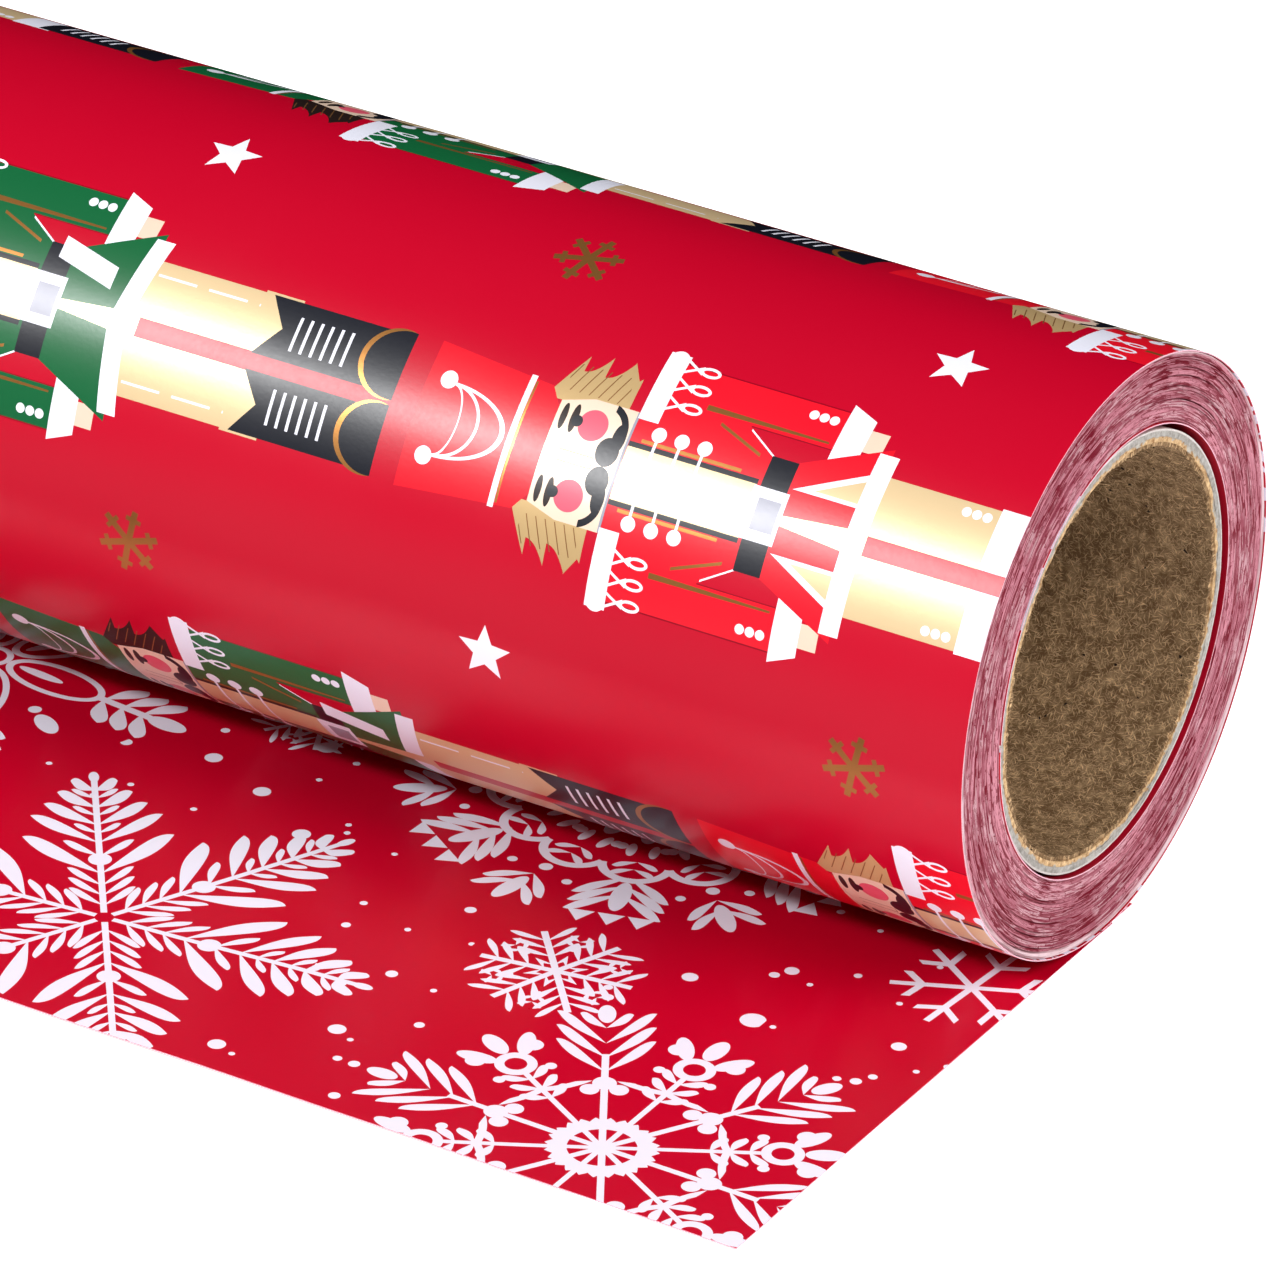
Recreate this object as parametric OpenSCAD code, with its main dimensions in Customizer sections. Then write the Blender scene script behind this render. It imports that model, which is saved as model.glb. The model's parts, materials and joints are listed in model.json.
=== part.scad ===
// A roll of reversible gift wrapping paper with its free end laid out flat in front.
// The origin is the centre of the core's bore. +X runs along the roll, +Z is up,
// and the free sheet leaves the underside of the roll towards -Y.

/* [Roll] */
// Width of the paper, which is the length of the roll
web_w = 432; // [200:1:760]
// Outside diameter of the wound roll
roll_d = 52; // [46:0.5:80]
// Diameter of the core's bore
bore_d = 35; // [33:0.5:36]

/* [Core plies] */
// Thickness of the brown kraft liner in the bore
liner_t = 0.4; // [0.2:0.05:0.5]
// Thickness of each of the two grey chipboard plies
board_t = 0.45; // [0.3:0.05:0.5]
// Thickness of the pale outer ply
face_t = 0.15; // [0.1:0.05:0.2]

/* [Paper] */
// Thickness of the paper
paper_t = 0.1; // [0.08:0.01:0.12]
// How far the winding stands off the core at its loose side, the rear
loose_gap = 0.65; // [0.4:0.05:1.6]

/* [Free sheet] */
// Free length from the roll's lowest line to the cut edge, at the +X side
sheet_len = 60; // [55.5:0.5:60]
// Slant of the hand-cut edge, in degrees, which makes the -X side longer
cut_slant = 0; // [0:0.1:4]
// How much paper lies ready under the free sheet
reserve_len = 54.5; // [53:0.5:54.5]

/* [Hidden] */
$fn = 128;

glue_line = 0.02;       // glue between two core plies
tight_gap = 0.15;       // between the core and the winding at the front, where the tape holds them
slip = 0.02;            // air between two turns of paper
under_roll = 0.15;      // air between the turning roll and the sheet below it
under_sheet = 0.05;     // air between the free sheet and the paper that lies ready under it
fold_gap = 0.12;        // air between two neighbouring panels of the free sheet
end_inset = 0.25;       // how far the core's ends lie inside the winding's ends
exit_slit = 0.3;        // opening in the outermost turn where the free sheet leaves it

// Radii of the core's plies, from the bore outwards
liner_in_r = bore_d / 2;
board_inner_r = liner_in_r + liner_t + glue_line;
board_outer_r = board_inner_r + board_t + glue_line;
face_in_r = board_outer_r + board_t + glue_line;
core_r = face_in_r + face_t;

// The core lies against the front of the winding's inner wall, so the wall's axis is behind it
wall_y = (loose_gap - tight_gap) / 2;
wall_r = core_r + tight_gap + wall_y;

// The turns lie looser behind and below the core, so the outermost turn's axis is off the bore's
roll_r = roll_d / 2;
roll_y = 0.45;
roll_z = -0.5;

// Tape that holds the start of the paper on the front of the core
tape_t = 0.1;
tape_gap = 0.02;
tape_arc = 36;          // angle of the core that it covers
tape_bends = 8;         // creases across it, which follow the core
tape_end_margin = 12;

// Heights of the free sheet and of the paper under it
sheet_z = roll_z - roll_r - under_roll - paper_t;
reserve_z = sheet_z - under_sheet - paper_t;
sheet_tail = 2;         // flat length of the free sheet behind the roll's lowest line
reserve_tail = 6;       // flat length of the ready paper behind the roll's lowest line

// The free sheet bends at the lines between its panels
panels = 6;
first_fold = 12;        // from the roll's lowest line to the first bending line
fold_pitch = 10;        // between two bending lines

// How far in front of the roll's lowest line bending line n lies
function fold_at(n) = first_fold + (n - 1) * fold_pitch;

// A tube along X
module tube(inner_r, thickness, length = web_w) {
    rotate([0, 90, 0])
        difference() {
            cylinder(r = inner_r + thickness, h = length, center = true);
            cylinder(r = inner_r, h = length + 2, center = true);
        }
}

module core_ply(inner_r, thickness) {
    tube(inner_r, thickness, web_w - 2 * end_inset);
}

// A solid cylinder along X, longer than the roll by extra
module drum(r, extra = 0) {
    rotate([0, 90, 0])
        cylinder(r = r, h = web_w + extra, center = true);
}

// A flat sheet at height z, between two lines measured forwards from the roll's lowest line.
// Its front edge can be slanted, which makes it longer at the -X side.
module flat_sheet(rear, front, z, slant = 0) {
    translate([0, roll_y, z])
        linear_extrude(height = paper_t)
            polygon([[-web_w / 2, -rear], [web_w / 2, -rear],
                     [web_w / 2, -front], [-web_w / 2, -front - web_w * tan(slant)]]);
}

module core_liner() {
    color("peru") core_ply(liner_in_r, liner_t);
}

module core_board_inner() {
    color("darkgray") core_ply(board_inner_r, board_t);
}

module core_board_outer() {
    color("silver") core_ply(board_outer_r, board_t);
}

module core_face() {
    color("lightgray") core_ply(face_in_r, face_t);
}

// Points across the tape at radius r, where 0 degrees is the front of the core
function tape_line(r) = [for (i = [0 : tape_bends])
    let (a = (i / tape_bends - 0.5) * tape_arc) [-r * cos(a), r * sin(a)]];

function reversed(points) = [for (i = [len(points) - 1 : -1 : 0]) points[i]];

// A strip of tape bent around the front of the core
module start_tape() {
    inner = tape_line(core_r + tape_gap);
    outer = tape_line(core_r + tape_gap + tape_t);
    color("ivory")
        rotate([90, 0, 90])
            linear_extrude(height = web_w - 2 * tape_end_margin, center = true)
                polygon(concat(inner, reversed(outer)));
}

// The innermost turn, which stands off the rear of the core
module first_turn() {
    color("firebrick")
        translate([0, wall_y, 0])
            tube(wall_r, paper_t);
}

module winding() {
    color("palevioletred")
        difference() {
            translate([0, roll_y, roll_z])
                drum(roll_r - paper_t - slip);
            translate([0, wall_y, 0])
                drum(wall_r + paper_t + slip, 2);
        }
}

// The outermost turn, open along the lowest line where the free sheet leaves it
module outer_turn() {
    color("crimson")
        difference() {
            translate([0, roll_y, roll_z])
                tube(roll_r - paper_t, paper_t);
            translate([-web_w, roll_y - exit_slit / 2, roll_z - roll_r - 1])
                cube([2 * web_w, exit_slit, 2]);
        }
}

// The paper that comes off the roll next, laid where it lies once it is drawn out
module web_reserve() {
    color("crimson") flat_sheet(-reserve_tail, reserve_len, reserve_z);
}

// One stiff panel of the free sheet; the last one ends in the cut edge
module sheet_panel(n) {
    rear = n == 1 ? -sheet_tail : fold_at(n - 1) + fold_gap / 2;
    color("crimson")
        if (n < panels)
            flat_sheet(rear, fold_at(n) - fold_gap / 2, sheet_z);
        else
            flat_sheet(rear, sheet_len, sheet_z, cut_slant);
}

core_liner();
core_board_inner();
core_board_outer();
core_face();
start_tape();
first_turn();
winding();
outer_turn();
web_reserve();
for (n = [1 : panels])
    sheet_panel(n);
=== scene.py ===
# %% [markdown]
# # A roll of gift wrap with its free end drawn out
#
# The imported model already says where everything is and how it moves, so this lesson only adds
# looks. The object is one long printed paper web on a spiral-wound chipboard core. We make the
# web as flat paper first, print on it with shader maths, and then lay it: rolled, or flat on
# the table. The core and the wound edges are turned round the roll's axis.

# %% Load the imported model
import json
import math

import bmesh
import bpy
from mathutils import Matrix, Vector, noise


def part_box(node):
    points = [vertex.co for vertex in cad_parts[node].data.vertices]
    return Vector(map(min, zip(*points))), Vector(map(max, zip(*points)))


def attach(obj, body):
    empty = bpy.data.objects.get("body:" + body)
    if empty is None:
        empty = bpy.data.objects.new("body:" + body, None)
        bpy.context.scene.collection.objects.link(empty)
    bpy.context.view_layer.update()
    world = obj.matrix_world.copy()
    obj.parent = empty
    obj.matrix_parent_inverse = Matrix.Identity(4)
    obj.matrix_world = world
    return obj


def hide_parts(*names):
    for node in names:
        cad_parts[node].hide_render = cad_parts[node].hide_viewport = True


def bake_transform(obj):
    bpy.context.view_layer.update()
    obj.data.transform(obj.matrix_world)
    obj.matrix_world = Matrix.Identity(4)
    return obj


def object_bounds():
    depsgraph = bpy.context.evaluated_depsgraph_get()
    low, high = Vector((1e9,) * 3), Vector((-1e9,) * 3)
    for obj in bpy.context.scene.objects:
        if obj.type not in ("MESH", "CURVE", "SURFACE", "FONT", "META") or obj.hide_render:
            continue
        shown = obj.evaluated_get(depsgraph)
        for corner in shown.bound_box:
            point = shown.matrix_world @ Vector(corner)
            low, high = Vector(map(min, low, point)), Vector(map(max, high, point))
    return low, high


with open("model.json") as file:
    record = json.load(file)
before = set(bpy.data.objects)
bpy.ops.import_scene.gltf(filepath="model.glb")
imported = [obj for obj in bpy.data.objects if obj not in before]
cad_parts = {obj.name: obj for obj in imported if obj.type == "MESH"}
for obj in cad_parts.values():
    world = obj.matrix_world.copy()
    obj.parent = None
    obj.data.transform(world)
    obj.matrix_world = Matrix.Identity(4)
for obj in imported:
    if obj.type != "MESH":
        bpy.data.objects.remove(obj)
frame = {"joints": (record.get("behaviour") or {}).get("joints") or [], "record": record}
cad_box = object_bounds()

# %% [markdown]
# ## Sizes
#
# Everything is in metres, in the model's own frame: +X runs along the roll, +Z is up, and the
# free sheet leaves the roll's underside towards -Y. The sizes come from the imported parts, so
# a change in the model carries over. A curved part's box is a little small, because its mesh
# is made of flats, so the roll's radius is taken from its widest extent and rounded. The web
# was wound a little off centre: the first turn, the bore and the outermost turn have an axis each.

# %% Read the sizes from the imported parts
MM = 0.001
joints = {joint["name"]: joint for joint in frame["joints"]}
mounts = {mount["name"]: mount for mount in frame["record"]["mounts"]}


def part_size(node):
    low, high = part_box(node)
    return high - low


def outer_radius(node):
    size = part_size(node)
    return round(max(size.y, size.z) / 2, 5)


def middle_of(node):
    low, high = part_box(node)
    return Vector((0, round((low.y + high.y) / 2, 5), round((low.z + high.z) / 2, 5)))


AXIS = Vector(joints["roll_turn"]["pos_m"])
WALL_AXIS = middle_of("first_turn")
WEB = round(part_size("outer_turn").x, 5)
ROLL_R = outer_radius("outer_turn")
WALL_R = outer_radius("first_turn") - 0.1 * MM
PAPER = 0.1 * MM
BORE_R = mounts["core_bore"]["dims"]["r_mm"] * MM
CORE_LENGTH = mounts["core_bore"]["dims"]["length_mm"] * MM
SHEET_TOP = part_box("sheet_panel_1")[1].z
RESERVE_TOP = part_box("web_reserve")[1].z
FLOOR = cad_box[0].z
print("roll radius", ROLL_R, "web", WEB, "inner wall", WALL_R, "floor", FLOOR)

# %% [markdown]
# ## Shader maths in Python
#
# A print can be computed: for every point of the paper we ask which shape it lies in. Wiring
# hundreds of Math nodes by hand would be unreadable, so `Value` wraps one socket and overloads
# Python's operators. Every other node comes from `Finish.node`, which takes a type, its
# settings, and the values of its sockets.


# %% Sockets that can be used in expressions
def operator(operation):
    """A method that sends a value, and what it is combined with, through one Math node."""
    return lambda value, *others: value.math(operation, *others)


class Value:
    """One output socket. Python's operators on it add Math nodes."""

    __add__ = __radd__ = operator("ADD")
    __sub__ = operator("SUBTRACT")
    __mul__ = __rmul__ = operator("MULTIPLY")
    __truediv__ = operator("DIVIDE")
    __lt__ = operator("LESS_THAN")
    __gt__ = operator("GREATER_THAN")
    __or__ = operator("MAXIMUM")
    __abs__ = operator("ABSOLUTE")
    times_plus = operator("MULTIPLY_ADD")  # with a factor, and with what is added
    near = operator("COMPARE")  # with a middle and a reach: 1 within reach of it, else 0
    folded = operator("PINGPONG")  # with a reach: from 0 up to it and back, again and again

    def __init__(self, finish, socket):
        self.finish = finish
        self.socket = socket

    def math(self, operation, *others):
        return self.finish.node("Math", {"operation": operation}, [self, *others])

    def __rsub__(self, other):
        return self.finish.node("Math", {"operation": "SUBTRACT"}, [other, self])

    def between(self, low, high):
        return self.near((low + high) / 2, (high - low) / 2)

    def wrapped(self, low, high):
        """Repeats every high - low."""
        return self.math("WRAP", high, low)


def squared_length(x, y):
    return y.times_plus(y, x * x)


def length_of(x, y):
    return squared_length(x, y).math("SQRT")


class Finish:
    """A material whose node tree is written as expressions."""

    def __init__(self, name):
        self.material = bpy.data.materials.new(name)
        self.material.use_nodes = True
        self.tree = self.material.node_tree
        self.tree.nodes.clear()

    def node(self, kind, settings=(), inputs=(), output=0):
        made = self.tree.nodes.new("ShaderNode" + kind)
        for name, value in dict(settings).items():
            if name == "stops":
                ramp = made.color_ramp
                while len(ramp.elements) < len(value):
                    ramp.elements.new(1.0)
                for element, (place, colour) in zip(ramp.elements, value):
                    element.position = place
                    element.color = colour
            elif name == "interpolation":
                made.color_ramp.interpolation = value
            else:
                setattr(made, name, value)
        open_sockets = [socket for socket in made.inputs if socket.enabled]
        pairs = inputs.items() if isinstance(inputs, dict) else enumerate(inputs)
        for key, value in pairs:
            if isinstance(key, int):
                socket = open_sockets[key]
            else:
                socket = next(s for s in open_sockets if s.name == key)
            if isinstance(value, Value):
                self.tree.links.new(value.socket, socket)
            else:
                socket.default_value = value
        results = [socket for socket in made.outputs if socket.enabled]
        return Value(self, results[output]) if results else None

    def point(self, x, y, z=0.0):
        return self.node("CombineXYZ", inputs=[x, y, z])

    def parts_of(self, vector):
        node = self.node("SeparateXYZ", inputs=[vector])
        return [Value(self, socket) for socket in node.socket.node.outputs]

    def here(self):
        """The point's own place in the model's frame."""
        return self.node("TexCoord", output=3)

    def speckle(self, where, scale, detail=2.0, roughness=0.5, distortion=0.0):
        """A noise between 0 and 1."""
        return self.node(
            "TexNoise",
            inputs={"Vector": where, "Scale": scale, "Detail": detail, "Roughness": roughness,
                    "Distortion": distortion},
        )

    def ramp(self, value, low, high, to_low=0.0, to_high=1.0):
        """Maps low..high to to_low..to_high, and stops at both ends."""
        return self.node("MapRange", inputs=[value, low, high, to_low, to_high])

    def mixed(self, mask, first, second):
        return self.node("Mix", {"data_type": "RGBA"}, {"Factor": mask, "A": first, "B": second})

    def blended(self, mask, first, second):
        return self.node("Mix", {"data_type": "FLOAT"}, {"Factor": mask, "A": first, "B": second})

    def bump(self, height, distance, strength=1.0):
        return self.node("Bump", inputs={"Height": height, "Distance": distance, "Strength": strength})

    def surface(self, **sockets):
        named = {}
        for name, value in sockets.items():
            named[name.replace("_", " ").title().replace("Ior", "IOR")] = value
        shader = self.node("BsdfPrincipled", inputs=named)
        self.node("OutputMaterial", inputs={"Surface": shader})
        return self.material


def srgb(red, green, blue):
    """A colour as a paint maker's 0 to 255 values, turned to the linear light a shader needs."""
    linear = []
    for level in (red, green, blue):
        share = level / 255
        linear.append(share / 12.92 if share < 0.04045 else ((share + 0.055) / 1.055) ** 2.4)
    return (*linear, 1.0)


# %% [markdown]
# ## Inks
#
# Each ink covers what lies under it. So a print keeps one number per point, the ink on top, and
# `paint` replaces it inside a shape. At the end two colour ramps turn the number into a colour
# and a shine. That costs one node for each shape, however many colours there are.

# %% The inks, and paper that can be printed on
INKS = {
    "ground": (srgb(187, 0, 36), 0.0),
    "white": (srgb(232, 232, 246), 0.0),
    "gold": (srgb(164, 112, 58), 0.6),
    "cream": (srgb(222, 194, 150), 0.22),
    "skin": (srgb(236, 208, 186), 0.1),
    "scarlet": (srgb(224, 16, 38), 0.0),
    "green": (srgb(18, 96, 54), 0.0),
    "black": (srgb(22, 24, 34), 0.0),
    "pink": (srgb(226, 88, 110), 0.0),
    "fair": (srgb(204, 172, 122), 0.3),
    "dark": (srgb(40, 28, 26), 0.0),
    "grey": (srgb(150, 150, 165), 0.0),
    "wine": (srgb(140, 0, 26), 0.0),
    "brown": (srgb(150, 104, 62), 0.5),
}
INK = {name: number for number, name in enumerate(INKS)}
INK_STEPS = 16
FIGURE_GAP = 70.0  # from one figure to the next, along a row, in millimetres
ROW_GAP = 36.6  # from one row of figures to the next
ROW_SHIFT = 29.0  # how far every second row is shifted along the roll
TILE = 144.0, 104.0  # the snowflake print's repeat


class PrintedPaper(Finish):
    """Paper with a print. Its web map gives along and across in millimetres."""

    def __init__(self, name):
        super().__init__(name)
        web_map = self.node("UVMap", {"uv_map": "web"})
        along, across, _ = self.parts_of(web_map)
        self.along = along * 1000.0
        self.across = across * 1000.0
        self.ink = float(INK["ground"])

    def paint(self, mask, ink):
        top = float(INK[ink]) if isinstance(ink, str) else ink
        self.ink = self.blended(mask, self.ink, top)

    def dry(self):
        """Turns the ink numbers into colour and shine."""
        level = self.ink.times_plus(1 / INK_STEPS, 0.5 / INK_STEPS)
        colours = [(n / INK_STEPS, colour) for n, (colour, _) in enumerate(INKS.values())]
        shines = [(n / INK_STEPS, (m, m, m, 1.0)) for n, (_, m) in enumerate(INKS.values())]
        hard = {"interpolation": "CONSTANT"}
        colour = self.node("ValToRGB", {**hard, "stops": colours}, [level])
        return self.satin(colour, self.node("ValToRGB", {**hard, "stops": shines}, [level]))

    def satin(self, colour, metal):
        """Smooth coated paper."""
        fibre = self.speckle(self.here(), 2600.0, 3.0)
        cloud = self.speckle(self.here(), 60.0, 2.0)
        rough = fibre.times_plus(0.05, 0.24) + cloud * 0.08
        height = fibre + cloud * 2.0
        return self.surface(
            base_color=colour,
            metallic=metal,
            roughness=rough,
            specular_ior_level=0.32,
            normal=self.bump(height, 0.004 * MM),
        )


# %% [markdown]
# ## Shapes
#
# Each shape is a mask, 1 inside and 0 outside. `Value.near` is one Compare node, so a box
# costs three nodes. An oval compares a squared distance and needs no square root. In a leaf row
# the arm's coordinate is wrapped, so every leaf is the same one. A leaf is widest two thirds of
# the way to its tip, which makes the tip round.


# %% Masks for shapes
WIDEST = 1.87  # one over the height of the leaf's bulge, which is 0.535


def oval(x, y, middle_x, middle_y, reach_x, reach_y=None):
    reach_y = reach_y or reach_x
    dx = x - middle_x
    dy = (y - middle_y) * (reach_x / reach_y)
    return squared_length(dx, dy) < reach_x**2


def loop(x, y, middle_x, middle_y, radius, half_width):
    return length_of(x - middle_x, y - middle_y).near(radius, half_width)


def box(x, y, low_x, high_x, low_y, high_y):
    inside = y < high_y if low_y == 0 else y.between(low_y, high_y)
    return x.between(low_x, high_x) * inside


def stripe(x, y, slope, middle, half_width):
    """A slanting line, where x + slope * y is middle."""
    return y.times_plus(slope, x).near(middle, half_width)


def leaf_row(out, aside, first, pitch, count, lean, length, half_width, taper=0.0):
    """Leaves that lean outwards from an arm. taper shortens each by that share of its place."""
    base = aside.times_plus(-lean, out)
    if count == 1:
        step = base - first
        row = aside < length
    else:
        step = base.wrapped(first - pitch / 2, first + pitch / 2) - first
        row = base.between(first - pitch / 2, first + pitch * (count - 0.5))
    if taper == 0:
        reach = aside * (1 / length)
    else:
        reach = aside / (base - step - first).times_plus(-taper, length)
    squared = reach * reach
    bulge = (1 - squared * squared) * reach
    return (abs(step) < bulge * (WIDEST * half_width)) * row


# %% [markdown]
# ## The outer print: toy soldiers, stars and gold flakes
#
# The figures lie along the roll in rows, one in a red coat and one in a green coat by turns.
# A figure is the same on both sides of its middle, so the drawing uses `y`, the distance from
# the middle, and half the shapes come for free. `f` runs from the top of the hat to the toes, and
# `kind` is 0 for a red figure and 1 for a green one. Only the green figure's flap is on one side.

# %% Draw one toy soldier


def soldier_hat(paint, f, y, coat):
    paint(f.between(0.5, 12.8) * (y < f.times_plus(-0.09, 6.4)) * (y.times_plus(0.77, f) < 15.7), coat)
    paint(box(f, y, 9.35, 9.9, 0, 5.75), "white")
    paint(box(f, y, 9.95, 10.15, 0, 5.3), "gold")
    out = f - 3.1
    for reach in (1.5, 3.3, 5.7):
        swag = length_of(out * (3.1 / reach), y).near(3.1, 0.13)
        paint(swag * (out > 0), "white")
    paint(oval(f, y, 2.45, 3.3, 0.78), "white")


def soldier_head(paint, f, y, hair):
    saw = (f - 11.5).wrapped(0, 2.0) * 0.5
    tips = (y < saw * saw * 1.9 + 7.3) | (y < f.times_plus(-1.5, 35.6)) * (f > 17.5)
    paint(tips * (y < f.times_plus(1.9, -16.9)) * f.between(11.4, 18.8) * (y > 4.4), hair)
    strands = y.times_plus(-0.42, f).wrapped(-0.45, 0.45).near(0, 0.05) * y.between(5.4, 7.9)
    paint(strands * f.between(12.6, 18.2), "brown")
    paint(f.between(12.8, 19.75) * (y < 5.25) * (y < f.times_plus(0.3, 0.55)), "skin")
    paint(oval(f, y, 16.35, 3.05, 1.35), "pink")
    paint(oval(f, y, 13.5, 3.15, 0.3, 1.15), "dark")
    paint(oval(f, y, 14.5, 3.2, 0.34, 1.25), "dark")
    paint(oval(f, y, 14.85, 3.05, 0.5), "black")
    paint(box(f, y, 14.1, 17.5, 0.42, 0.52) | box(f, y, 17.4, 17.5, 0, 0.52), "brown")
    paint(oval(f, y, 18.45, 1.25, 1.05, 1.25), "black")
    paint((loop(f, y, 17.15, 3.0, 2.1, 0.3) | oval(f, y, 19.0, 2.6, 0.6, 1.3)) * (f > 17.8), "black")


def soldier_arms(paint, f, y, coat):
    paint(box(f, y, 38.5, 41.3, 7.45, 9.5), "skin")
    paint(box(f, y, 20.6, 37.4, 6.8, 10.62), "wine")
    paint(box(f, y, 20.6, 37.4, 6.9, 10.5), coat)
    taper = f.times_plus(-0.014, 0.6)
    paint((abs(y - 7.35) < taper) * f.between(25.2, 36.6), "gold")
    dots = oval(f.wrapped(33.75, 34.7), y, 34.22, 9.4, 0.43)
    paint(dots * f.between(33.75, 36.6), "white")
    cuff = (y < f.times_plus(-0.4, 26.2)) * (y > f.times_plus(0.4, -9.2))
    paint(f.between(37.1, 39.6) * cuff, "white")


def soldier_coat(paint, f, y, coat):
    waist = (y < 6.8) * (y < f.times_plus(-0.6, 24.55)) | box(f, y, 20.0, 29.6, 0, 6.9)
    paint(f.between(20.0, 33.0) * waist, coat)
    paint(stripe(y, f, 0.6, 24.45, 0.09) * f.between(29.8, 32.6), "white")
    paint(stripe(y, f, 0.37, 16.3, 0.14) * f.between(27.0, 31.4), "gold")
    paint(box(f, y, 21.0, 30.4, 2.85, 3.15), "gold")
    paint(box(f, y, 20.0, 32.2, 0, 2.75), "black")
    paint(box(f, y, 20.0, 32.2, 0, 2.3), "cream")
    paint(box(f, y, 19.72, 19.95, 0, 5.2), "grey")
    place = f.wrapped(21.2, 23.36)
    bars = place.near(22.28, 0.13) * (y < 3.8)
    knobs = oval(place, y, 22.28, 3.85, 0.66)
    paint((bars | knobs) * f.between(21.2, 27.68), "white")
    shoulder = f.between(19.85, 21.75) * y.between(4.75, 11.3) | oval(f, y, 20.8, 10.6, 0.95, 1.0)
    paint(shoulder, "white")
    cord = y.wrapped(5.85, 7.65) - 6.75
    ring = oval(f, cord, 24.0, 0, 0.95, 0.5) > oval(f, cord, 24.0, 0, 0.66, 0.24)
    cross = stripe(abs(cord), abs(f - 22.75), -0.55, 0, 0.13) * f.between(21.6, 23.3)
    paint((ring | cross) * y.between(5.85, 11.25), "white")


def soldier_legs(paint, f, y, kind, trim):
    paint(box(f, y, 41.5, 57.0, 0.85, 6.0), "cream")
    dots = oval(f.wrapped(49.95, 50.9), y, 50.42, 5.1, 0.42) * f.between(49.95, 52.8) * (kind < 0.5)
    dashes = y.near(4.75, 0.11) * f.wrapped(43.2, 48.2).math("LESS_THAN", 47.0) * f.between(43.2, 54) * kind
    paint(dots | dashes, "white")
    paint(box(f, y, 53.3, 57.0, 0.85, 6.2), trim)
    heel = abs(y - 3.35)
    shaft = (heel.times_plus(0.75, f) > 56.1) * (heel < 2.65)
    plain_shaft = (f > 55.9) * (heel < 2.65) * (kind < 0.5)
    paint((shaft * kind | plain_shaft) * (f < 67.0), "black")
    laces = f.wrapped(57.0, 58.0).near(57.5, 0.14)
    paint(laces * f.between(57.0, 63.0) * y.between(1.7, 4.75), "white")
    paint(oval(f, y, 67.1, 3.25, 3.25, 3.15) * (f < 68.0), "gold")
    paint(oval(f, y, 67.6, 3.25, 3.25, 3.05) * (f < 68.1), "black")


def soldier_skirt(paint, f, y, coat, kind, aside):
    paint(f.between(34.8, 42.3) * (y < f.times_plus(0.47, -11.45)), coat)
    white = (y > 2.75) * (y < f.times_plus(0.5, -14.9)) * (kind < 0.5)
    tan = (y > 3.1) * (y < f.times_plus(0.5, -15.5)) * (kind < 0.5)
    paint(white * (f < 41.4), "white")
    paint(tan * (f < 41.3), "cream")
    hem = f - kind * (y * 0.16) + kind * 0.9
    paint(hem.between(41.2, 43.0) * (y < 7.8) * (f > 40.0), "white")
    paint(f.between(35.0, 43.1) * (y < f.times_plus(0.09, -2.75)), "cream")
    paint(box(f, y, 32.5, 35.0, 0, 4.95), "black")
    paint(box(f, y, 32.0, 35.3, 0, 2.25), "white")
    paint(box(f, y, 32.8, 34.9, 0, 1.35), "grey")
    flap = (abs(aside - f.times_plus(-0.25, 13.2)) < 1.0) * f.between(33.6, 39.4) * kind
    paint(flap, "white")


# %% [markdown]
# One row repeats every two figures and the rows repeat every two rows. `wrapped` folds the
# whole web onto one such tile, and a second fold finds which coat a figure wears.

# %% The outer print
EDGE = WEB / 2 / MM  # the web's right-hand edge, in millimetres from its middle
ROW_ONE = 105.8  # a row's middle, along the web from where it leaves the roll
RED_HAT = EDGE - 55.8  # where a red figure's hat starts in that row
STAR_AT = EDGE - 45.0  # a star on the line below that row
STAR_SHIFT = 32.0  # and how much further along the stars of the next line are


def sector(out, angle, half):
    """How far along and aside of its arm a point is, when all arms are folded onto one."""
    part = angle.folded(half)
    return out * part.math("COSINE"), out * part.math("SINE")


def star_mask(out, angle, tip):
    """A five-pointed star. The sector's edge runs from the tip to the notch."""
    along, aside = sector(out, angle, math.pi / 5)
    notch = 0.44 * tip
    rise = notch * math.sin(math.pi / 5)
    run = tip - notch * math.cos(math.pi / 5)
    return along.times_plus(rise / run, aside) < tip * rise / run


def flake_mask(out, angle, reach):
    """Six thin arms, each with a cross stroke near its end."""
    along, aside = sector(out, angle, math.pi / 6)
    arm = (aside < 0.3) * (along < reach)
    return arm | (along.near(reach * 0.72, 0.22) * (aside < 0.75))


def two_steps(place, low, step):
    """Folds a coordinate onto two steps from low on. Gives 1 in the second step, and the
    place as if it were in the first."""
    spot = place.wrapped(low, low + 2 * step)
    second = spot > low + step
    return second, second.times_plus(-step, spot)


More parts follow.
